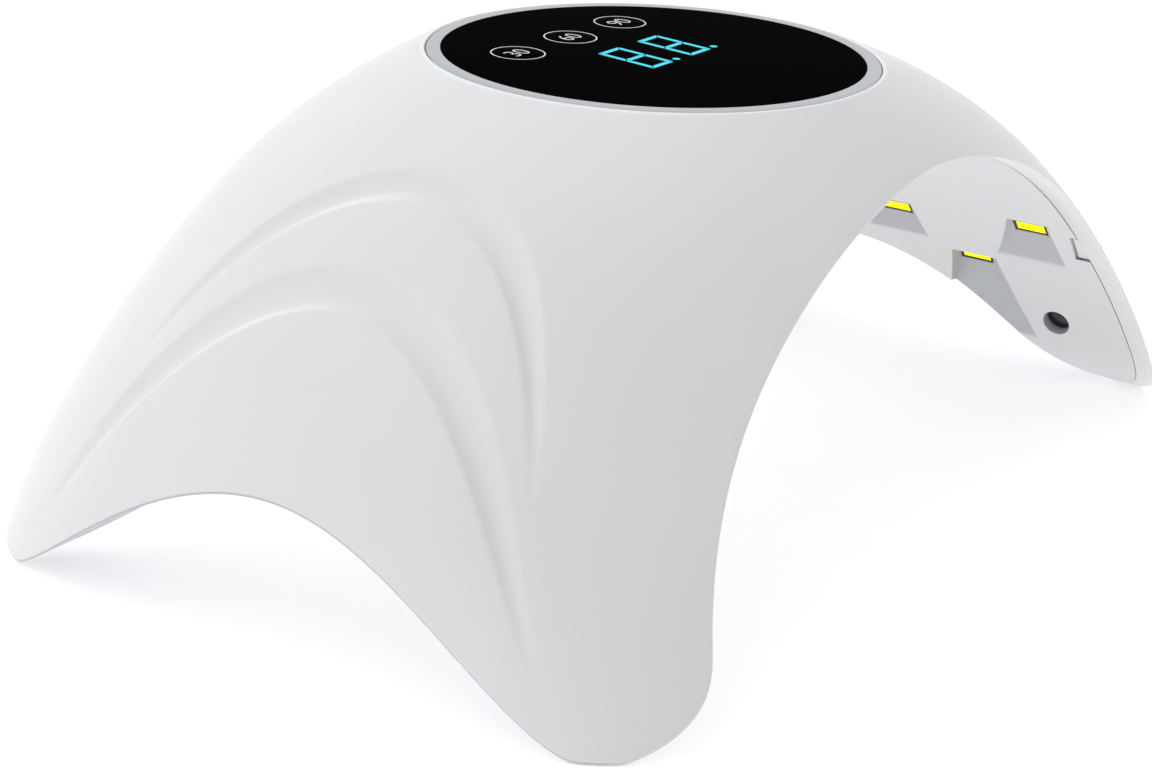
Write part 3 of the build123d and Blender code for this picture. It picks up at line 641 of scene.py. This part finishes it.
def valley_depth(points, ridge, line, full_depth):
    """Depth of the valley above a ridge at points of the skin.

    With u the distance from the ridge over the valley's width and m the floor's place, the depth falls
    from 0 at the sharp ridge to the full depth at u = m as 1 minus a power of 1 - u / m, then rises as 1
    minus a power of (u - m) / (1 - m) to a fold at the outer rim. The width fades along the ridge as the
    squared cosine of the share, the depth as its cosine, and faster near the ends.
    """
    share, places, ahead, up = line
    points = points.copy()
    points[..., 0] = np.abs(points[..., 0])
    closest = np.argmin(np.linalg.norm(points[..., None, :] - places, axis=-1), axis=-1)
    near = points - places[closest]
    step = ahead[closest]
    beyond = np.sum(near * step, axis=-1) / np.sum(step * step, axis=-1)
    across = np.linalg.norm(near - step * beyond[..., None], axis=-1)
    across = across * np.sign(np.sum(near * up[closest], axis=-1))
    place = np.clip(share[closest] + beyond * (share[1] - share[0]), -1, 1)
    fade = np.cos(pi / 2 * place)
    width = np.maximum(ridge.width * fade**2, 1e-6)
    ends = np.clip(fade / VALLEY.full_from, 0, 1) ** VALLEY.end_power
    depth = np.minimum(full_depth * fade, VALLEY.deepest * width) * ends
    u = np.clip(across / width, 0, 1)
    falling = 1 - np.clip(1 - u / VALLEY.floor, 0, 1) ** VALLEY.near_power
    rising = 1 - np.clip((u - VALLEY.floor) / (1 - VALLEY.floor), 0, 1) ** VALLEY.far_power
    return depth * np.where(u < VALLEY.floor, falling, rising)


def spread_turns(dome, count, steps=2400):
    """Turns round the dome, spread evenly along the rim and closer together where the relief is.

    The relief's part is a smooth step in the size of the turn's cosine.
    """
    relief_from, softness = 0.78, 0.03
    everywhere, at_relief = 0.5, 1.8
    even = np.linspace(0, 2 * pi, steps + 1)
    rim = dome.points(even, rim_heights(dome, even))
    run = np.linalg.norm(np.diff(rim, axis=0), axis=-1)
    middle = (even[1:] + even[:-1]) / 2
    side = 1 / (1 + np.exp((relief_from - np.abs(np.cos(middle))) / softness))
    weight = run / run.mean() + everywhere + at_relief * side
    weight = (weight + np.roll(weight, 1) + np.roll(weight, -1)) / 3
    total = np.concatenate([[0], np.cumsum(weight)])
    return np.interp(np.linspace(0, total[-1], count, endpoint=False), total, even)


def bunched(count, power=1.4):
    """Shares from 0 to 1, closer together towards 1: 1 minus a power of 1 minus an even share."""
    return 1 - (1 - np.linspace(0, 1, count)) ** power


def even_heights(dome, turn, rim, rows, start, steps=260):
    """Heights of the rows of each column, evenly spaced along the skin from start above the rim."""
    heights = rim[:, None] + (dome.height - rim[:, None]) * bunched(steps)
    points = dome.points(turn[:, None], heights)
    pieces = np.linalg.norm(np.diff(points, axis=1), axis=-1)
    run = np.concatenate([np.zeros((len(turn), 1)), np.cumsum(pieces, axis=1)], axis=1)
    wanted = start + (run[:, -1:] - start) * np.linspace(0, 1, rows)
    place = np.clip((run[:, :, None] < wanted[:, None, :]).sum(axis=1), 1, steps - 1)
    before = np.take_along_axis(run, place - 1, axis=1)
    after = np.take_along_axis(run, place, axis=1)
    lower = np.take_along_axis(heights, place - 1, axis=1)
    upper = np.take_along_axis(heights, place, axis=1)
    return lower + (upper - lower) * (wanted - before) / np.maximum(after - before, 1e-12)


def cut_box(piece, low, high):
    """Cut a box, given by two corners in millimetres, out of a piece."""
    mesh = bpy.data.meshes.new("cutter")
    work = bmesh.new()
    bmesh.ops.create_cube(work, size=1.0)
    size = np.subtract(high, low) * MM
    middle = np.add(high, low) / 2 * MM
    bmesh.ops.scale(work, vec=Vector(size), verts=work.verts)
    bmesh.ops.translate(work, vec=Vector(middle), verts=work.verts)
    work.to_mesh(mesh)
    work.free()
    cutter = put("cutter", mesh)
    modifier = piece.modifiers.new("cut", "BOOLEAN")
    modifier.solver = "MANIFOLD"
    modifier.object = cutter
    bpy.context.view_layer.update()
    result = bpy.data.meshes.new_from_object(piece.evaluated_get(bpy.context.evaluated_depsgraph_get()))
    piece.modifiers.clear()
    piece.data = result
    bpy.data.objects.remove(cutter)


class LAMP_OT_shell(Operator):
    """Outer shell: the dome's skin with its valleys, the edge, the inner skin and the display seat."""
    bl_idname = "lamp.shell"
    bl_label = "Outer shell"

    def execute(self, context):
        sizes = context.scene.lamp_shell
        colours = context.scene.lamp_colours
        # The rim colour is painted shade on the low edge, the crest colour a painted highlight
        white = shell_material(colours.shell[:], colours.rim[:], colours.crest[:])
        outer = Dome(sizes)
        inner = Dome(sizes, sizes.wall / MM)
        turn = spread_turns(outer, sizes.columns)
        rounding = sizes.edge / MM
        rim = rim_heights(outer, turn)
        skin = outer.points(turn[:, None], even_heights(outer, turn, rim, sizes.rows, rounding))
        skin = self.with_relief(sizes, outer, skin.transpose(1, 0, 2))
        outer_rim = outer.points(turn, rim)
        inner_rim = inner.points(turn, rim_heights(inner, turn))
        edge = self.rounded_edge(skin[0], outer_rim, inner_rim, rounding)
        surface = np.concatenate([skin[::-1], edge, self.inside(sizes, inner, turn, inner_rim)], axis=0)
        faces = grid_faces(len(surface), len(turn), close_rows=True)
        shell = make_piece("shell", surface, faces, white, slot="shell_white", merge=False)
        self.mark_edges(shell, surface.shape[:2], sizes.rows, sizes.rows + len(edge), outer_rim)
        cut_box(shell, *SOCKET_SLOT)
        shell.data.set_sharp_from_angle(angle=SHARP)
        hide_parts("outer_shell")
        self.small_parts(sizes, white)
        return {"FINISHED"}

    def with_relief(self, sizes, dome, skin):
        """The skin moved in along its normals by the valleys' depth."""
        along = np.roll(skin, -1, axis=1) - np.roll(skin, 1, axis=1)
        up = np.gradient(skin, axis=0)
        normal = np.cross(along, up)
        normal = normal / np.maximum(np.linalg.norm(normal, axis=-1, keepdims=True), 1e-12)
        lines = [ridge_line(dome, ridge) for ridge in RIDGES]
        near = np.abs(skin[..., 0]).min(axis=0) > RELIEF_START
        depth = np.zeros(skin.shape[:-1])
        for row in range(len(skin)):
            for ridge, line in zip(RIDGES, lines):
                found = valley_depth(skin[row, near], ridge, line, sizes.valley_depth / MM)
                depth[row, near] = np.maximum(depth[row, near], found)
        return skin - normal * depth[..., None]

    def rounded_edge(self, start, corner, inner_rim, rounding, steps=6):
        """Rows of the lower edge: a parabola from the skin round the rim's corner to the underside."""
        across = inner_rim - corner
        across = across / np.linalg.norm(across, axis=-1, keepdims=True)
        end = corner + across * rounding
        share = np.linspace(0, 1, steps)[1:, None, None]
        return (1 - share) ** 2 * start + 2 * share * (1 - share) * corner + share**2 * end

    def inside(self, sizes, inner, turn, inner_rim, rows=12):
        """Rows of the inner skin, the display seat and the collar."""
        seat, recess, chamfer = sizes.seat / MM, sizes.recess / MM, sizes.collar_chamfer / MM
        bottom, seat_top, top = sizes.seat_bottom / MM, sizes.seat_top / MM, sizes.height / MM
        heights = inner_rim[:, 2] + (bottom - inner_rim[:, 2]) * bunched(rows)[:, None]
        skin = inner.points(turn[None, :], heights)
        profile = [(seat, bottom), (seat, seat_top), (recess, seat_top), (recess, top - chamfer),
                   (recess + chamfer, top)]
        plan = np.stack([np.cos(turn), np.sin(turn)], axis=-1)
        rings = [np.concatenate([plan * radius, np.full((len(turn), 1), level)], axis=-1)
                 for radius, level in profile]
        return np.concatenate([skin, np.array(rings)], axis=0)

    def mark_edges(self, shell, shape, first, last, rim):
        """Marks on the edge's rows, from first to last: rim, painted shade, is 1 on the low edge; lip, a
        painted highlight, on the rest up high.

        Lip is also 1 on the collar's three rows, the first and the last two of the grid.
        """
        low = self.low_edge(rim)
        high = np.clip((rim[:, 2] - LIP_HIGHLIGHT.low) / (LIP_HIGHLIGHT.high - LIP_HIGHLIGHT.low), 0, 1)
        edge_shade_marks = np.zeros(shape)
        # Painted shade along the low edge
        edge_shade_marks[first:last] = low
        lip_highlight = np.zeros(shape)
        # Painted highlight on the lip, stronger up high, and on the collar
        lip_highlight[first:last] = (1 - low) * (LIP_HIGHLIGHT.least + (1 - LIP_HIGHLIGHT.least) * high)
        lip_highlight[last] = (1 - low) * high
        lip_highlight[[0, -2, -1]] = 1
        for name, values in (("rim", edge_shade_marks), ("lip", lip_highlight)):
            marks = shell.data.attributes.new(name, "FLOAT", "POINT")
            marks.data.foreach_set("value", values.ravel())

    def low_edge(self, rim):
        """1 where the rim stands on the ground or follows a side arch, 0 along the tunnel, softly joined."""
        close, ground, blend = 0.1, 0.3, 3
        low = (rim[:, 2] < side_arch_height(rim[:, 1]) + close) | (rim[:, 2] < ground)
        spread = [np.roll(low.astype(float), step) for step in range(-blend, blend + 1)]
        return np.mean(spread, axis=0)

    def small_parts(self, sizes, white):
        """Bosses under the display seat, and the snap tabs that hold the liner.

        A boss is a turned tube. A tab is a bar, four-sided at each height, that reaches from beside the
        tunnel's curve into the middle of the wall.
        """
        top = sizes.seat_bottom / MM + BOSS.overlap
        profile = [(BOSS.bore, BOSS.foot), (BOSS.radius, BOSS.foot), (BOSS.radius, top), (BOSS.bore, top)]
        for number, (side, way) in enumerate(((1, 1), (-1, 1), (-1, -1), (1, -1))):
            centre = (BOSS.x * side, BOSS.y * way)
            boss = make_turned(f"boss_{number}", profile, 32, white, centre, merge=False)
            boss.data.set_sharp_from_angle(angle=SHARP)
        wall = Dome(sizes, sizes.wall / MM / 2)
        rows, sides = 6, 4
        last = rows * sides - 1
        caps = [[0, 1, 2, 3], [last, last - 1, last - 2, last - 3]]
        height = np.repeat(np.linspace(TAB.foot, TAB.top, rows)[:, None], sides, axis=1)
        y = np.broadcast_to([TAB.near, TAB.far, TAB.far, TAB.near], height.shape)
        inward = tunnel_half(height) + TAB.gap
        outward = np.maximum(wall.side_point(y, height)[..., 0], inward + TAB.thinnest)
        x = np.where([True, True, False, False], inward, outward)
        for number, (side, way) in enumerate(((1, -1), (-1, -1), (1, 1), (-1, 1))):
            tab = np.stack([x * side, y * way, height], axis=-1)
            faces = np.concatenate([grid_faces(rows, sides), caps])
            make_piece(f"snap_tab_{number}", tab, faces, white, smooth=False, merge=False)


class LAMP_OT_liner(Operator):
    """Inner liner, a carried-over solid, gets its material."""
    bl_idname = "lamp.liner"
    bl_label = "Inner liner"

    def execute(self, context):
        colours = context.scene.lamp_colours
        # The recess colour is painted shade in the windows' faces
        dress(liner_material(colours.liner[:], colours.recess[:]), "inner_liner")
        return {"FINISHED"}


class LAMP_OT_display(Operator):
    """Silver ring, black panel and lit digits; the ring is turned from a profile with rounded corners."""
    bl_idname = "lamp.display"
    bl_label = "Display"

    def execute(self, context):
        sizes = context.scene.lamp_display
        colours = context.scene.lamp_colours
        low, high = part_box("display_bezel")
        inner, outer, bevel = sizes.ring_inner / MM, sizes.ring_outer / MM, sizes.ring_bevel / MM
        bottom, top = low.z / MM, high.z / MM
        corners = [(inner, bottom), (outer, bottom), (outer, top - bevel), (outer - bevel, top),
                   (inner, top)]
        # Fine turned circles spread the light into a soft, even silver
        silver = metal("Aluminium, spun and satin anodised", colours.silver[:], roughness=0.34,
                       line_mm=0.09, radial=True)
        ring = make_turned("silver_ring", rounded(corners, sizes.ring_corner / MM), 256, silver,
                           slot="bezel_silver", merge=False)
        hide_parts("display_bezel")
        dress(panel_material("Smoked acrylic, polished", colours.panel[:]), "display_lens")
        # Lit bars shine cyan through the black, a little unevenly
        dress(lit("Digits behind smoked acrylic, lit", colours.digits[:], strength=1.0,
                  base=(0.0, 0.02, 0.03, 1.0), patch_mm=2.0), "digit_segments")
        return {"FINISHED"}


class LAMP_OT_buttons(Operator):
    """Three push buttons: black caps with a printed ring and a number each."""
    bl_idname = "lamp.buttons"
    bl_label = "Buttons"

    def execute(self, context):
        sizes = context.scene.lamp_display
        # Caps as black as the panel, so that only their prints stand out
        black = panel_material("Smoked acrylic caps, polished", context.scene.lamp_colours.panel[:])
        # Thin ink: white and nearly matt
        paint = moulded("Screen print, white", linear("E9ECEE"), roughness=0.5, grain_mm=0.1)
        for side, number in (("left", "30"), ("middle", "60"), ("right", "90")):
            low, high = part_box("button_" + side)
            centre = ((low.x + high.x) / 2 / MM, (low.y + high.y) / 2 / MM)
            top = (high.z - sizes.cap_sink) / MM
            self.cap(side, sizes, centre, low.z / MM, top, black)
            self.ring_print(side, sizes, centre, top, paint)
            self.figures(side, number, sizes, centre, top, paint)
        return {"FINISHED"}

    def cap(self, side, sizes, centre, bottom, top, black):
        """Cap turned from a profile: flange, upright side, rounded edge and flat face."""
        radius, flange = sizes.cap_radius / MM, sizes.flange_radius / MM
        edge, bulge = sizes.cap_edge / MM, sizes.cap_bulge / MM
        step = bottom + sizes.flange_height / MM
        middle = radius * 0.6
        profile = [(0, bottom), (flange, bottom), (flange, step), (radius, step), (radius, top - edge),
                   (radius - bulge, top - bulge), (radius - edge, top), (middle, top), (0, top)]
        piece = make_turned("cap_" + side, profile, 96, black, centre, closed=False,
                            body="button_" + side + "_body", slot="button_black")
        piece.data.set_sharp_from_angle(angle=SHARP)
        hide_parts("button_" + side)

    def ring_print(self, side, sizes, centre, top, paint):
        """Printed ring: a thin band turned from a rectangle that sits a little in the cap's face."""
        outer = sizes.print_radius / MM
        inner = outer - sizes.print_width / MM
        under, over = top - sizes.print_sink / MM, top + sizes.print_rise / MM
        profile = [(inner, under), (outer, under), (outer, over), (inner, over)]
        make_turned("ring_print_" + side, profile, 96, paint, centre, body="button_" + side + "_body",
                    smooth=False, merge=False)

    def figures(self, side, number, sizes, centre, top, paint):
        """Number printed on a cap, as a thin mesh. The font's figures are a share of its size high."""
        name = "figures_" + side
        share_of_size = 0.7
        curve = bpy.data.curves.new(name, "FONT")
        curve.body = number
        curve.size = sizes.figure_height / share_of_size
        curve.extrude = (sizes.print_rise + sizes.print_sink) / 2
        curve.offset = -sizes.figure_thinning
        curve.align_x = "CENTER"
        curve.align_y = "CENTER"
        writing = put(name, curve)
        mesh = bpy.data.meshes.new_from_object(writing.evaluated_get(bpy.context.evaluated_depsgraph_get()))
        bpy.data.objects.remove(writing)
        level = top * MM + (sizes.print_rise - sizes.print_sink) / 2
        mesh.transform(Matrix.Translation((centre[0] * MM, centre[1] * MM, level)))
        mesh.materials.clear()
        mesh.materials.append(paint)
        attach(put(name, mesh), "button_" + side + "_body")


class LAMP_OT_lights(Operator):
    """Emitters, their boards and the hand sensors."""
    bl_idname = "lamp.lights"
    bl_label = "Lights and sensors"

    def execute(self, context):
        # Phosphor under clear silicone: strong yellow, a little uneven
        dress(lit("Phosphor in silicone, lit", context.scene.lamp_colours.emitter[:], strength=0.9,
                  base=linear("E8E000"), patch_mm=1.5), "emitters_left", "emitters_right")
        # Black lacquer: a dark, even border round each emitter
        dress(moulded("Solder mask, black", linear("101114"), roughness=0.4, grain_mm=0.2),
              "light_board_left", "lower_boards_left", "emitter_frames_left",
              "light_board_right", "lower_boards_right", "emitter_frames_right")
        # Clear to infrared, so it looks almost black, with a smooth shine
        dress(moulded("Epoxy, infrared dark", linear("1A1420"), roughness=0.12, grain_mm=0.5),
              "infrared_sender", "infrared_receiver")
        return {"FINISHED"}


class LAMP_OT_electronics(Operator):
    """Boards, socket, chips, leads and screws inside the shell."""
    bl_idname = "lamp.electronics"
    bl_label = "Electronics"

    def execute(self, context):
        # Lacquer over copper: even green with a soft shine
        dress(moulded("Solder mask, green", linear("1C5A34"), roughness=0.35, grain_mm=0.3),
              "main_board", "sensor_board_right", "sensor_board_left")
        # Bright plating: pale grey metal with fine drawn lines
        dress(metal("Steel, nickel plated", linear("B9BABD"), roughness=0.28, line_mm=0.15),
              "board_screws", "power_socket", "switch_body_left", "switch_body_middle",
              "switch_body_right")
        # Chip bodies: dull black with a close grain
        dress(moulded("Epoxy, moulded black", linear("17181A"), roughness=0.45, grain_mm=0.15),
              "controller_chip", "driver_transistors", "sense_resistors")
        # Connector bodies: warm cream, slightly waxy
        dress(moulded("Nylon, moulded cream", linear("E4DDC8"), roughness=0.45, grain_mm=0.3),
              "lead_connectors")
        # Light box and plungers: plain clean white
        dress(moulded("Polycarbonate, moulded white", linear("E6E6E2"), roughness=0.4, grain_mm=0.3),
              "digit_module", "switch_plunger_left", "switch_plunger_middle", "switch_plunger_right")
        # Insulation: bright red with a smooth shine along the lead
        dress(moulded("Lead jacket, extruded", linear("B02A26"), roughness=0.4, grain_mm=0.25),
              "leads_right", "leads_left")
        # Tight film: dark blue and smoother than the rest
        dress(moulded("Shrink sleeve, dark blue", linear("1A2440"), roughness=0.3, grain_mm=0.4),
              "smoothing_capacitor")
        # Open cells: dull black that swallows light
        dress(moulded("Foam tape, black", linear("151516"), roughness=0.8, grain_mm=0.25, relief_mm=0.06),
              "lens_adhesive")
        return {"FINISHED"}


class LAMP_OT_stage(Operator):
    """Floor, sky, soft light and the camera."""
    bl_idname = "lamp.stage"
    bl_label = "Studio"

    def execute(self, context):
        scene = context.scene
        settings = scene.lamp_stage
        scene.view_settings.view_transform = "Standard"
        self.make_camera(scene, settings)
        self.make_world(scene, settings)
        self.make_floor(scene, settings)
        self.make_key_light(settings)
        return {"FINISHED"}

    def make_camera(self, scene, settings):
        """Camera at the photograph's place: turned round Z, tipped down and rolled a little."""
        data = bpy.data.cameras.new("camera")
        data.sensor_width = settings.sensor
        data.lens = settings.focal
        data.clip_start = 0.01
        camera = put("camera", data)
        turn, tip, roll = settings.turn, settings.tip, settings.roll
        right = Vector((np.cos(turn), np.sin(turn), 0))
        back = Vector((np.sin(turn) * np.cos(tip), -np.cos(turn) * np.cos(tip), np.sin(tip)))
        up = back.cross(right)
        side = np.cos(roll) * right + np.sin(roll) * up
        top = -np.sin(roll) * right + np.cos(roll) * up
        place = Matrix((side, top, back)).transposed().to_4x4()
        place.translation = settings.place
        camera.matrix_world = place
        scene.camera = camera

    def make_world(self, scene, settings):
        """Sky of soft lobes, each a power of the cosine to its direction, that lights the lamp.

        Camera, glossy and transmission rays see white in its place.
        """
        world = bpy.data.worlds.new("studio")
        world.use_nodes = True
        tree = world.node_tree
        tree.nodes.clear()
        way = add_node(tree, "ShaderNodeTexCoord").outputs["Generated"]
        sky = (0.0, 0.0, 0.0)
        for name, axis in SKY_LOBES.items():
            lean = add_node(tree, "ShaderNodeVectorMath", {"operation": "DOT_PRODUCT"}, {0: way, 1: axis})
            lobe = worked_out(tree, lean.outputs.items(), ("POWER", ("MAXIMUM", "Value", 0.0), LOBE_POWER))
            shade = getattr(settings, name)[:]
            sky = add_node(tree, "ShaderNodeVectorMath", {"operation": "MULTIPLY_ADD"},
                           {0: lobe, 1: shade, 2: sky}).outputs[0]
        shown = add_node(tree, "ShaderNodeMix", {"data_type": "RGBA"},
                         {0: seen_directly(tree), 6: sky, 7: (1, 1, 1, 1)})
        light = add_node(tree, "ShaderNodeBackground", inputs={"Color": shown.outputs[2], "Strength": 1.0})
        add_node(tree, "ShaderNodeOutputWorld", inputs={"Surface": light.outputs[0]})
        scene.world = world

    def make_floor(self, scene, settings):
        """Pale floor that keeps a soft shadow and runs out to white."""
        # Matt paper: no shine, and fibres too faint to draw the eye
        fibre_mm = 1.11
        material, tree, shader, place = new_material("Paper, matt white")
        fibres = add_node(tree, "ShaderNodeTexNoise",
                          inputs={"Vector": place, "Scale": 1 / (fibre_mm * MM), "Detail": 2.0})
        pale = scene.lamp_colours.floor[:]
        tone = add_node(tree, "ShaderNodeMix", {"data_type": "RGBA"},
                        {0: fibres.outputs[0], 6: scaled(pale, 0.99), 7: pale})
        tree.links.new(tone.outputs[2], shader.inputs["Base Color"])
        shader.inputs["Roughness"].default_value = 1.0
        shader.inputs["Specular IOR Level"].default_value = 0.0
        lift = [channel + settings.table_lift for channel in settings.table]
        shown = add_node(tree, "ShaderNodeMix", {"data_type": "RGBA"},
                         {0: seen_directly(tree), 6: (*settings.table, 1), 7: (*lift, 1)})
        tree.links.new(shown.outputs[2], shader.inputs["Emission Color"])
        shader.inputs["Emission Strength"].default_value = 1.0
        reach, level = settings.floor_reach, -settings.floor_drop
        mesh = bpy.data.meshes.new("floor")
        corners = [(-reach, -reach, level), (reach, -reach, level), (reach, reach, level),
                   (-reach, reach, level)]
        mesh.from_pydata(corners, [], [(0, 1, 2, 3)])
        mesh.materials.append(material)
        put("floor", mesh)

    def make_key_light(self, settings):
        """Large square soft light that faces the lamp."""
        strength = max(*settings.key, 1e-6)
        data = bpy.data.lights.new("key", "AREA")
        data.size = settings.key_size
        data.energy = strength
        data.color = [channel / strength for channel in settings.key]
        light = put("key", data)
        light.location = settings.key_place
        away = Vector(settings.key_place) - Vector(settings.aim)
        light.rotation_euler = away.to_track_quat("Z", "Y").to_euler()


class LAMP_PT_panel(Panel):
    """Sizes, colours and buttons for the lamp."""
    bl_label = "Nail Lamp"
    bl_idname = "LAMP_PT_panel"
    bl_space_type = "VIEW_3D"
    bl_region_type = "UI"
    bl_category = "Nail Lamp"

    def draw(self, context):
        for group in (context.scene.lamp_shell, context.scene.lamp_display,
                      context.scene.lamp_colours, context.scene.lamp_stage):
            box = self.layout.box()
            for name in group.__annotations__:
                box.prop(group, name)
        for operator in operators:
            self.layout.operator(operator.bl_idname)


operators = (LAMP_OT_stage, LAMP_OT_shell, LAMP_OT_liner, LAMP_OT_display, LAMP_OT_buttons, LAMP_OT_lights,
             LAMP_OT_electronics)
groups = {"lamp_shell": ShellSizes, "lamp_display": DisplaySizes, "lamp_stage": StageSettings,
          "lamp_colours": LampColours}


def register():
    for kind in (*groups.values(), *operators, LAMP_PT_panel):
        bpy.utils.register_class(kind)
    for name, group in groups.items():
        setattr(bpy.types.Scene, name, PointerProperty(type=group))


def unregister():
    for name in groups:
        delattr(bpy.types.Scene, name)
    for kind in (LAMP_PT_panel, *reversed(operators), *groups.values()):
        bpy.utils.unregister_class(kind)


def main():
    """Make every piece."""
    register()
    for operator in operators:
        group, name = operator.bl_idname.split(".")
        getattr(getattr(bpy.ops, group), name)()


if __name__ == "__main__":
    main()
